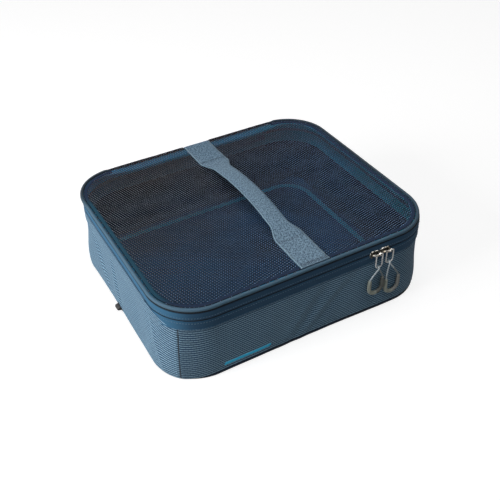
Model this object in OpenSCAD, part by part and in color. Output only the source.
// Packing cube with a zipped mesh lid, a sewn-on carry strap and two cord pulls.
// The origin is the middle of the base on the ground. The front faces -Y, the hinge is along +Y, +Z is up.
// Every solid stands a little clear of the next one, as sewn layers do.

/* [Case] */
// Outside width of the walls, left to right
case_w = 342; // [300:1:380]
// Outside depth of the walls, front to back
case_d = 290; // [250:1:320]
// Outside radius of the four upright corners
corner_r = 54; // [45:1:60]
// Height of the slit between the two zipper tapes
slit_z = 86; // [80:1:110]
// Height of the piping's centre line above the slit
lid_rise = 14; // [13:0.5:20]
// Thickness of the wall fabric with its padding
wall_t = 1.6; // [1.2:0.1:3]
// Height of the dark turned-up edge of the base
base_rim = 5; // [3:0.5:8]
// Thickness of the base
base_t = 2; // [1:0.5:3]
// Width of the binding tape on the floor and under the lid
binding_w = 7; // [5:0.5:9]
// Distance from the walls to the floor binding
floor_inset = 16; // [12:1:20]

/* [Zipper] */
// Height of the lower tape below the slit
tape_low_h = 13; // [10:0.5:14]
// Gap between the two tape edges
slit_gap = 1.2; // [1.1:0.1:1.6]
// Thickness of a tape
tape_t = 0.8; // [0.6:0.1:1]
// Thickness of the coil behind a tape
coil_t = 1.5; // [1.2:0.1:1.8]
// Height of one coil half
coil_h = 2.2; // [1.8:0.1:2.6]
// Half the width of the fabric hinge along the rear
hinge_half = 108; // [90:1:112]

/* [Piping and lid] */
// Outside diameter of the piping
piping_d = 4; // [3.6:0.1:4.4]
// Diameter of the cord inside the piping
piping_cord_d = 2.3; // [1.8:0.1:2.6]
// Thickness of the mesh
mesh_t = 0.8; // [0.6:0.1:1]

/* [Carry strap] */
// Position of the strap's centre line, to the right of the middle
strap_x = 4; // [-10:1:10]
// Width of the two sewn-down ends
strap_w = 37; // [34:1:40]
// Width of the free middle
strap_mid_w = 23; // [20:1:26]
// Distance from the middle to the inner edge of the front end
strap_front = 90; // [85:1:95]
// Distance from the middle to the inner edge of the rear end
strap_rear = 93; // [88:1:98]
// How far the free middle stands up at its highest point
strap_bow = 11; // [6:1:14]

/* [Sliders and pulls] */
// Position of the left slider
slider_left_x = 80; // [60:0.5:80]
// Position of the right slider
slider_right_x = 94.5; // [93.5:0.1:98]
// Length of a slider along the zipper
slider_l = 13; // [11:0.5:13]
// Height of a slider's plates
slider_h = 9.2; // [8:0.2:10]
// Distance from a slider's centre to its bail, along the zipper
bail_x = 5; // [3:0.1:5.1]
// Distance from the wall to the ring's pivot
bail_s = 5; // [4.5:0.1:6]
// Radius of the ring wire
ring_wire_r = 0.8; // [0.7:0.05:0.9]
// Length of the left ring
ring_left_len = 19.3; // [16:0.1:21]
// Length of the right ring
ring_right_len = 17; // [16:0.1:21]
// Radius of the cord
cord_r = 0.9; // [0.7:0.05:1]
// Half the width of a grip, measured at the cord
grip_half = 9; // [8:0.25:9]
// Outside radius of a grip's round section
grip_r = 2.5; // [2:0.1:2.6]
// Length of a grip's straight legs
grip_leg = 12; // [8:0.5:15]

/* [Side stud] */
// Position of the stud along the left wall
stud_y = 4; // [-10:1:10]
// Height of the stud's centre
stud_z = 4.2; // [3.8:0.1:6]

/* [Hidden] */
$fn = 48;

gap = 0.1;          // clearance between neighbouring solids
sheath_gap = 0.05;  // clearance round a cord inside its cover
binding_t = 0.7;    // thickness of the bindings on the walls and lid

// Centres of the rounded corners
corner_x = case_w / 2 - corner_r;
corner_y = case_d / 2 - corner_r;
front_y = -case_d / 2;
rear_y = case_d / 2;

// Zipper heights, and coil faces as insets from the wall's outside
wall_top = slit_z - tape_low_h;
tape_low_top = slit_z - slit_gap / 2;
tape_up_bot = slit_z + slit_gap / 2;
coil_outer = tape_t + gap;
coil_inner = coil_outer + coil_t;

// Piping centre line
piping_z = slit_z + lid_rise;
piping_r = piping_d / 2;
piping_inset_x = 1;
piping_x = case_w / 2 - piping_inset_x;
piping_y = case_d / 2 - 0.5;
piping_corner = corner_r - 0.5;
piping_run_x = piping_x - piping_corner;  // half of the straight front run
piping_run_y = piping_y - piping_corner;  // half of each straight side run

tape_up_top = piping_z - piping_r - gap;
mesh_z = piping_z - mesh_t / 2;
mesh_under = mesh_z - gap;

binding_colour = [0.10, 0.36, 0.50];
flat_binding_colour = [0.10, 0.38, 0.52];
tape_colour = [0.11, 0.18, 0.28];
coil_colour = [0.08, 0.12, 0.18];
strap_end_colour = [0.45, 0.56, 0.63];
slider_colour = [0.72, 0.72, 0.70];
ring_colour = [0.66, 0.66, 0.64];
cord_colour = [0.46, 0.48, 0.46];
grip_colour = [0.42, 0.42, 0.37];

// ---------- shared shapes ----------

// A rounded rectangle.
module round_plate(size, r) {
    square([size.x - 2 * r, size.y], center = true);
    square([size.x, size.y - 2 * r], center = true);
    for (sx = [-1, 1], sy = [-1, 1])
        translate([sx * (size.x / 2 - r), sy * (size.y / 2 - r)]) circle(r);
}

// The plan outline of the case, pulled in by inset.
module plan(inset)
    round_plate([case_w - 2 * inset, case_d - 2 * inset], corner_r - inset);

// A band that follows the walls between two insets and two heights.
module band(outer, inner, z0, z1) {
    translate([0, 0, z0]) linear_extrude(z1 - z0) difference() {
        plan(outer);
        plan(inner);
    }
}

// A band everywhere except the straight run of the rear hinge.
module zipped_run(outer, inner, z0, z1) {
    margin = 1;
    difference() {
        band(outer, inner, z0, z1);
        translate([-hinge_half, 0, z0 - margin])
            cube([2 * hinge_half, case_d, z1 - z0 + 2 * margin]);
    }
}

// The straight run of the rear hinge.
module hinged_run(outer, inner, z0, z1) {
    translate([-hinge_half + gap, rear_y - inner, z0])
        cube([2 * (hinge_half - gap), inner - outer, z1 - z0]);
}

// Sweeps a 2D section through the lower half of an upright circle facing -Y.
module lower_half_loop(r) {
    rotate([90, 0, 0]) rotate([0, 0, 180])
        rotate_extrude(angle = 180) translate([r, 0]) children();
}

// A round rod between two points.
module rod(start, end, r) {
    span = end - start;
    length = norm(span);
    translate(start) rotate([0, acos(span.z / length), atan2(span.y, span.x)])
        cylinder(r = r, h = length);
}

// ---------- base and walls ----------

module base_panel() color([0.09, 0.12, 0.18]) {
    linear_extrude(base_t) plan(0);
    band(0, wall_t, base_t, base_rim);
}

// Plan regions that split the walls at the middle of each corner.
region_reach = 120;
region_x = corner_x - gap / 2;
region_y = corner_y - gap / 2;

// Side is -1 for the front wall, 1 for the rear wall.
function front_rear_region(side) = [
    [side * region_x, side * corner_y],
    [side * (region_x + region_reach), side * (corner_y + region_reach)],
    [-side * (region_x + region_reach), side * (corner_y + region_reach)],
    [-side * region_x, side * corner_y]];

// Side is -1 for the left wall, 1 for the right wall.
function left_right_region(side) = [
    [side * corner_x, -side * region_y],
    [side * (corner_x + region_reach), -side * (region_y + region_reach)],
    [side * (corner_x + region_reach), side * (region_y + region_reach)],
    [side * corner_x, side * region_y]];

module wall(region) {
    z0 = base_rim + gap;
    translate([0, 0, z0]) linear_extrude(wall_top - gap - z0) intersection() {
        difference() {
            plan(0);
            plan(wall_t);
        }
        polygon(region);
    }
}

module front_wall() color([0.24, 0.33, 0.41]) wall(front_rear_region(-1));
module right_wall() color([0.30, 0.41, 0.50]) wall(left_right_region(1));
module rear_wall() color([0.27, 0.37, 0.46]) wall(front_rear_region(1));
module left_wall() color([0.43, 0.55, 0.64]) wall(left_right_region(-1));

// ---------- bindings ----------

corner_tape_angle = 9;
corner_tape_z0 = base_rim + 2;
corner_tape_z1 = wall_top - 8;
floor_binding_t = 0.8;
floor_corner_r = 26;
top_binding_below = 5;    // reach below the top of the walls
top_binding_above = 3.5;  // reach above it, behind the lower tape

// Upright tapes inside the corners, over the wall seams.
module corner_bindings() color(binding_colour)
    for (sx = [-1, 1], sy = [-1, 1])
        translate([sx * corner_x, sy * corner_y, corner_tape_z0])
            rotate([0, 0, atan2(sy, sx) - corner_tape_angle / 2])
                rotate_extrude(angle = corner_tape_angle)
                    translate([corner_r - wall_t - gap - binding_t, 0])
                        square([binding_t, corner_tape_z1 - corner_tape_z0]);

// The floor binding's outer outline, pulled in by inset.
module floor_outline(inset) {
    from_wall = floor_inset + inset;
    round_plate([case_w - 2 * from_wall, case_d - 2 * from_wall], floor_corner_r - inset);
}

module floor_binding() color(flat_binding_colour)
    translate([0, 0, base_t + gap]) linear_extrude(floor_binding_t) difference() {
        floor_outline(0);
        floor_outline(binding_w);
    }

module wall_top_binding() color(binding_colour)
    band(wall_t + gap, wall_t + gap + binding_t,
        wall_top - top_binding_below, wall_top + top_binding_above);

// ---------- zipper and hinge ----------

end_tab = [10, 2.4, 8.1];
end_tab_inset = 6;   // from the hinge's end to the tab's middle
end_tab_drop = 0.6;  // from the lower tape's edge to the tab's top

module zipper_tape_lower() color(tape_colour)
    zipped_run(0, tape_t, wall_top, tape_low_top);

module zipper_coil_lower() color(coil_colour)
    zipped_run(coil_outer, coil_inner, tape_low_top - coil_h, tape_low_top);

module zipper_tape_upper() color(tape_colour)
    zipped_run(0, tape_t, tape_up_bot, tape_up_top);

module zipper_coil_upper() color(coil_colour)
    zipped_run(coil_outer, coil_inner, tape_up_bot, tape_up_bot + coil_h);

// Folded fabric tabs over the two ends of the zipper.
module zipper_end_tabs() color(tape_colour)
    for (side = [-1, 1])
        translate([side * (hinge_half - end_tab_inset) - end_tab.x / 2,
            rear_y - coil_outer - gap - end_tab.y,
            tape_low_top - end_tab_drop - end_tab.z])
            cube(end_tab);

module hinge_strip() color(tape_colour)
    hinged_run(0, tape_t, wall_top, tape_low_top);

module lid_rear_band() color(tape_colour)
    hinged_run(0, tape_t, tape_up_bot, mesh_under);

// ---------- side stud and front stripe ----------

// Plate sizes are [height, width along the wall].
washer_size = [7.6, 17];
washer_corner = 3.7;
washer_t = 1.1;
stud_size = [5.6, 11];
stud_corner = 2.6;
stud_l = 4.2;
stud_cap_size = [4.4, 9.6];
stud_cap_corner = 2.1;
stud_cap_t = 1.2;

// Turns a shape to stand out from the left wall, at a distance from it.
module on_left_wall(distance)
    translate([-case_w / 2 - distance, stud_y, stud_z]) rotate([0, -90, 0]) children();

module side_stud() color([0.11, 0.10, 0.10])
    on_left_wall(washer_t + 2 * gap) {
        linear_extrude(stud_l) round_plate(stud_size, stud_corner);
        translate([0, 0, stud_l])
            linear_extrude(stud_cap_t) round_plate(stud_cap_size, stud_cap_corner);
    }

module stud_washer() color([0.06, 0.06, 0.07])
    on_left_wall(gap) linear_extrude(washer_t) round_plate(washer_size, washer_corner);

stripe = [58, 0.3, 4];
stripe_x = -112;
stripe_z = 11;
stripe_gap = 0.05;

// A plain printed bar low on the front wall.
module front_stripe() color([0.10, 0.52, 0.78])
    translate([stripe_x, front_y - stripe_gap - stripe.y, stripe_z]) cube(stripe);

// ---------- lid ----------

mesh_flap_half = piping_run_x - 0.2;
lid_binding_inset = 6;

// The mesh lies inside the piping, and reaches the rear edge where there is none.
module lid_mesh() color([0.17, 0.19, 0.24, 0.75])
    translate([0, 0, mesh_z]) linear_extrude(mesh_t) {
        plan(piping_inset_x + piping_r + gap);
        translate([-mesh_flap_half, 0]) square([2 * mesh_flap_half, case_d / 2]);
    }

module lid_binding() color(flat_binding_colour)
    band(lid_binding_inset, lid_binding_inset + binding_w, mesh_under - binding_t, mesh_under);

// A round rod along the lid's front, sides and corners, hollow if inner_r is more than 0.
// It stops where the straight rear edge begins, because the mesh turns over that edge.
module edge_ring(outer_r, inner_r) {
    corner_signs = [[1, 1], [-1, 1], [-1, -1], [1, -1]];
    module section() {
        difference() {
            circle(outer_r);
            if (inner_r > 0) circle(inner_r);
        }
    }
    translate([-piping_run_x, -piping_y, piping_z]) rotate([0, 90, 0])
        linear_extrude(2 * piping_run_x) section();
    for (side = [-1, 1])
        translate([side * piping_x, piping_run_y, piping_z]) rotate([90, 0, 0])
            linear_extrude(2 * piping_run_y) section();
    for (k = [0:3])
        translate([corner_signs[k].x * piping_run_x, corner_signs[k].y * piping_run_y, piping_z])
            rotate([0, 0, 90 * k])
                rotate_extrude(angle = 90) translate([piping_corner, 0]) section();
}

module piping_cord() color([0.85, 0.85, 0.85]) edge_ring(piping_cord_d / 2, 0);

module piping_cover() color([0.42, 0.53, 0.60])
    edge_ring(piping_r, piping_cord_d / 2 + sheath_gap);

// ---------- carry strap ----------

strap_z = mesh_z + mesh_t + gap;
strap_edge = piping_y - piping_r - gap;  // from the middle to the front end's outer edge
strap_left = strap_x - strap_w / 2;
strap_end_t = 1.4;

module strap_end(y0, y1)
    translate([strap_left, y0, strap_z]) cube([strap_w, y1 - y0, strap_end_t]);

module strap_end_front() color(strap_end_colour) strap_end(-strap_edge, -strap_front);
module strap_end_rear() color(strap_end_colour) strap_end(strap_rear, rear_y);

tack_z = strap_z + strap_end_t + 0.02;
tack_t = 0.3;
short_tacks = 12;
short_tack_size = [0.7, 5, tack_t];
short_tack_pitch = 2.9;
short_tack_x = 2.2;   // from the strap's left edge to the first short bar
short_tack_y = 1.2;   // from the strap's front edge
long_tack_inset = 2;  // from the strap's side edges
long_tack_w = 0.8;

// Thread bars that hold the two ends down: a row of short ones along the front
// edge, and one long one across the inner edge of each end.
module strap_bar_tacks() color([0.24, 0.31, 0.38]) {
    for (k = [0:short_tacks - 1])
        translate([strap_left + short_tack_x + short_tack_pitch * k,
            -strap_edge + short_tack_y, tack_z])
            cube(short_tack_size);
    for (y = [-strap_front - 3, strap_rear + 2.2])
        translate([strap_left + long_tack_inset, y, tack_z])
            cube([strap_w - 2 * long_tack_inset, long_tack_w, tack_t]);
}

handle_overlap = 3;  // how far the free middle stops short of each end's inner edge
handle_y0 = -strap_front + handle_overlap;
handle_y1 = strap_rear - handle_overlap;
handle_z = strap_z + 0.3;
handle_t = 2;
handle_steps = 24;
bow_power = 0.8;  // below 1 makes the arch fuller than a sine

// A point of the strap's side view as [y, z], raised above its underside.
function handle_point(k, raised) = let (t = k / handle_steps)
    [handle_y0 + (handle_y1 - handle_y0) * t,
     handle_z + strap_bow * pow(sin(180 * t), bow_power) + raised];

module handle_strap() color([0.47, 0.59, 0.67])
    translate([strap_x - strap_mid_w / 2, 0, 0]) rotate([90, 0, 90])
        linear_extrude(strap_mid_w)
            polygon(concat([for (k = [0:handle_steps]) handle_point(k, 0)],
                [for (k = [handle_steps:-1:0]) handle_point(k, handle_t)]));

// ---------- sliders ----------

plate_gap = 0.5;  // from the wall to the front plate, and from the coil to the back plate
front_plate_t = 1.5;
back_plate_t = 1.2;
plate_corner = 2.4;
plate_back_y = coil_inner + plate_gap;
overlap = 0.1;    // how far a slider's parts run into each other
post_w = 4;
post_h = 0.7;
bail_w = 2.8;
bail_r = 2.3;
bail_cut = 4;     // length of the cutter for the ring's hole
bail_hole_r = ring_wire_r + 0.08;
rib_x0 = -slider_l / 2 + 1.5;
rib_x1 = bail_x - 0.5;
rib_t = 1;
rib_h = 2.4;

// A slider plate whose inner face is at y.
module slider_plate(y, thickness)
    translate([0, y, 0]) rotate([90, 0, 0])
        linear_extrude(thickness) round_plate([slider_l, slider_h], plate_corner);

// A slider on the front wall, centred on the slit at x.
module slider(x) {
    face_y = plate_gap + front_plate_t;
    translate([x, front_y, slit_z]) {
        slider_plate(-plate_gap, front_plate_t);
        slider_plate(plate_back_y + back_plate_t, back_plate_t);
        // The post between the plates, thinner than the slit
        translate([-post_w / 2, -plate_gap - overlap, -post_h / 2])
            cube([post_w, plate_gap + plate_back_y + 2 * overlap, post_h]);
        // The bail, a staple over the front plate that the ring hangs in
        difference() {
            translate([bail_x - bail_w / 2, 0, 0]) rotate([0, 90, 0])
                linear_extrude(bail_w) difference() {
                    union() {
                        translate([-bail_r, -bail_s])
                            square([2 * bail_r, bail_s - face_y + overlap]);
                        translate([0, -bail_s]) circle(bail_r);
                    }
                }
            translate([bail_x - bail_cut / 2, -bail_s, 0]) rotate([0, 90, 0])
                cylinder(r = bail_hole_r, h = bail_cut);
        }
        // A low rib along the plate, from the bail to the other end
        translate([rib_x0, -face_y - rib_t, -rib_h / 2])
            cube([rib_x1 - rib_x0, rib_t + overlap, rib_h]);
    }
}

module slider_left() color(slider_colour) slider(slider_left_x);
module slider_right() color(slider_colour) slider(slider_right_x);

// ---------- rings ----------

pull_y = front_y - bail_s;
ring_corner = 1.6;
ring_left_x = slider_left_x + bail_x;
ring_right_x = slider_right_x + bail_x;

// A wire ring that hangs from the middle of its top bar. Half_w is measured at the wire.
module pull_ring(x, length, half_w) {
    arc_z = slit_z - length + half_w;
    bar_half = half_w - ring_corner;
    side_top = slit_z - ring_corner;
    translate([x, pull_y, 0]) {
        translate([-bar_half, 0, slit_z]) rotate([0, 90, 0])
            cylinder(r = ring_wire_r, h = 2 * bar_half);
        for (side = [-1, 1]) {
            translate([side * half_w, 0, arc_z])
                cylinder(r = ring_wire_r, h = side_top - arc_z);
            translate([side * bar_half, 0, side_top])
                rotate([90, 0, 0]) rotate([0, 0, side > 0 ? 0 : 90])
                    rotate_extrude(angle = 90) translate([ring_corner, 0]) circle(ring_wire_r);
        }
        translate([0, 0, arc_z]) lower_half_loop(half_w) circle(ring_wire_r);
    }
}

module ring_left() color(ring_colour) pull_ring(ring_left_x, ring_left_len, half_w = 4.3);
module ring_right() color(ring_colour) pull_ring(ring_right_x, ring_right_len, half_w = 4.7);

// ---------- cords and grips ----------

hook_r = ring_wire_r + cord_r + 0.25;  // the cord's bend over the ring
bead = 0.07;       // extra radius of the cord's bends
cord_proud = 0.6;  // straight cord above the grip's legs

// The two grips hang side by side, a hair apart
grip_split_x = 95.8;
grip_offset = 0.4 + grip_half + grip_r;
grip_left_x = grip_split_x - grip_offset;
grip_right_x = grip_split_x + grip_offset;
grip_left_top = 50.5;
grip_right_top = 43;

// A closed cord loop: over the ring's lowest point, down two legs and round inside the grip.
module cord_path(ring_x, ring_len, grip_x, grip_top) {
    ring_z = slit_z - ring_len;
    arc_z = grip_top - grip_leg;
    leg_top = grip_top + cord_proud;
    hook_front = [ring_x, pull_y - hook_r, ring_z];
    hook_back = [ring_x, pull_y + hook_r, ring_z];
    leg_left = [grip_x - grip_half, pull_y, leg_top];
    leg_right = [grip_x + grip_half, pull_y, leg_top];
    translate([ring_x, pull_y, ring_z]) rotate([90, 0, 90])
        rotate_extrude(angle = 180) translate([hook_r, 0]) circle(cord_r);
    rod(hook_front, leg_left, cord_r);
    rod(hook_back, leg_right, cord_r);
    for (bend = [hook_front, hook_back, leg_left, leg_right])
        translate(bend) sphere(cord_r + bead);
    for (side = [-1, 1])
        translate([grip_x + side * grip_half, pull_y, arc_z])
            cylinder(r = cord_r, h = grip_leg + cord_proud);
    translate([grip_x, pull_y, arc_z]) lower_half_loop(grip_half) circle(cord_r);
}

// The moulded grip: a U-shaped tube over the cord.
module grip(x, top) {
    arc_z = top - grip_leg;
    module section() {
        difference() {
            circle(grip_r);
            circle(cord_r + sheath_gap);
        }
    }
    for (side = [-1, 1])
        translate([x + side * grip_half, pull_y, arc_z]) linear_extrude(grip_leg) section();
    translate([x, pull_y, arc_z]) lower_half_loop(grip_half) section();
}

module cord_left() color(cord_colour)
    cord_path(ring_left_x, ring_left_len, grip_left_x, grip_left_top);
module cord_right() color(cord_colour)
    cord_path(ring_right_x, ring_right_len, grip_right_x, grip_right_top);
module grip_left() color(grip_colour) grip(grip_left_x, grip_left_top);
module grip_right() color(grip_colour) grip(grip_right_x, grip_right_top);

base_panel();
front_wall();
left_wall();
right_wall();
rear_wall();
corner_bindings();
floor_binding();
wall_top_binding();
zipper_tape_lower();
zipper_coil_lower();
zipper_end_tabs();
hinge_strip();
side_stud();
stud_washer();
front_stripe();
lid_mesh();
lid_binding();
piping_cord();
piping_cover();
zipper_tape_upper();
zipper_coil_upper();
lid_rear_band();
strap_end_front();
strap_end_rear();
strap_bar_tacks();
handle_strap();
slider_left();
slider_right();
ring_left();
ring_right();
cord_left();
cord_right();
grip_left();
grip_right();
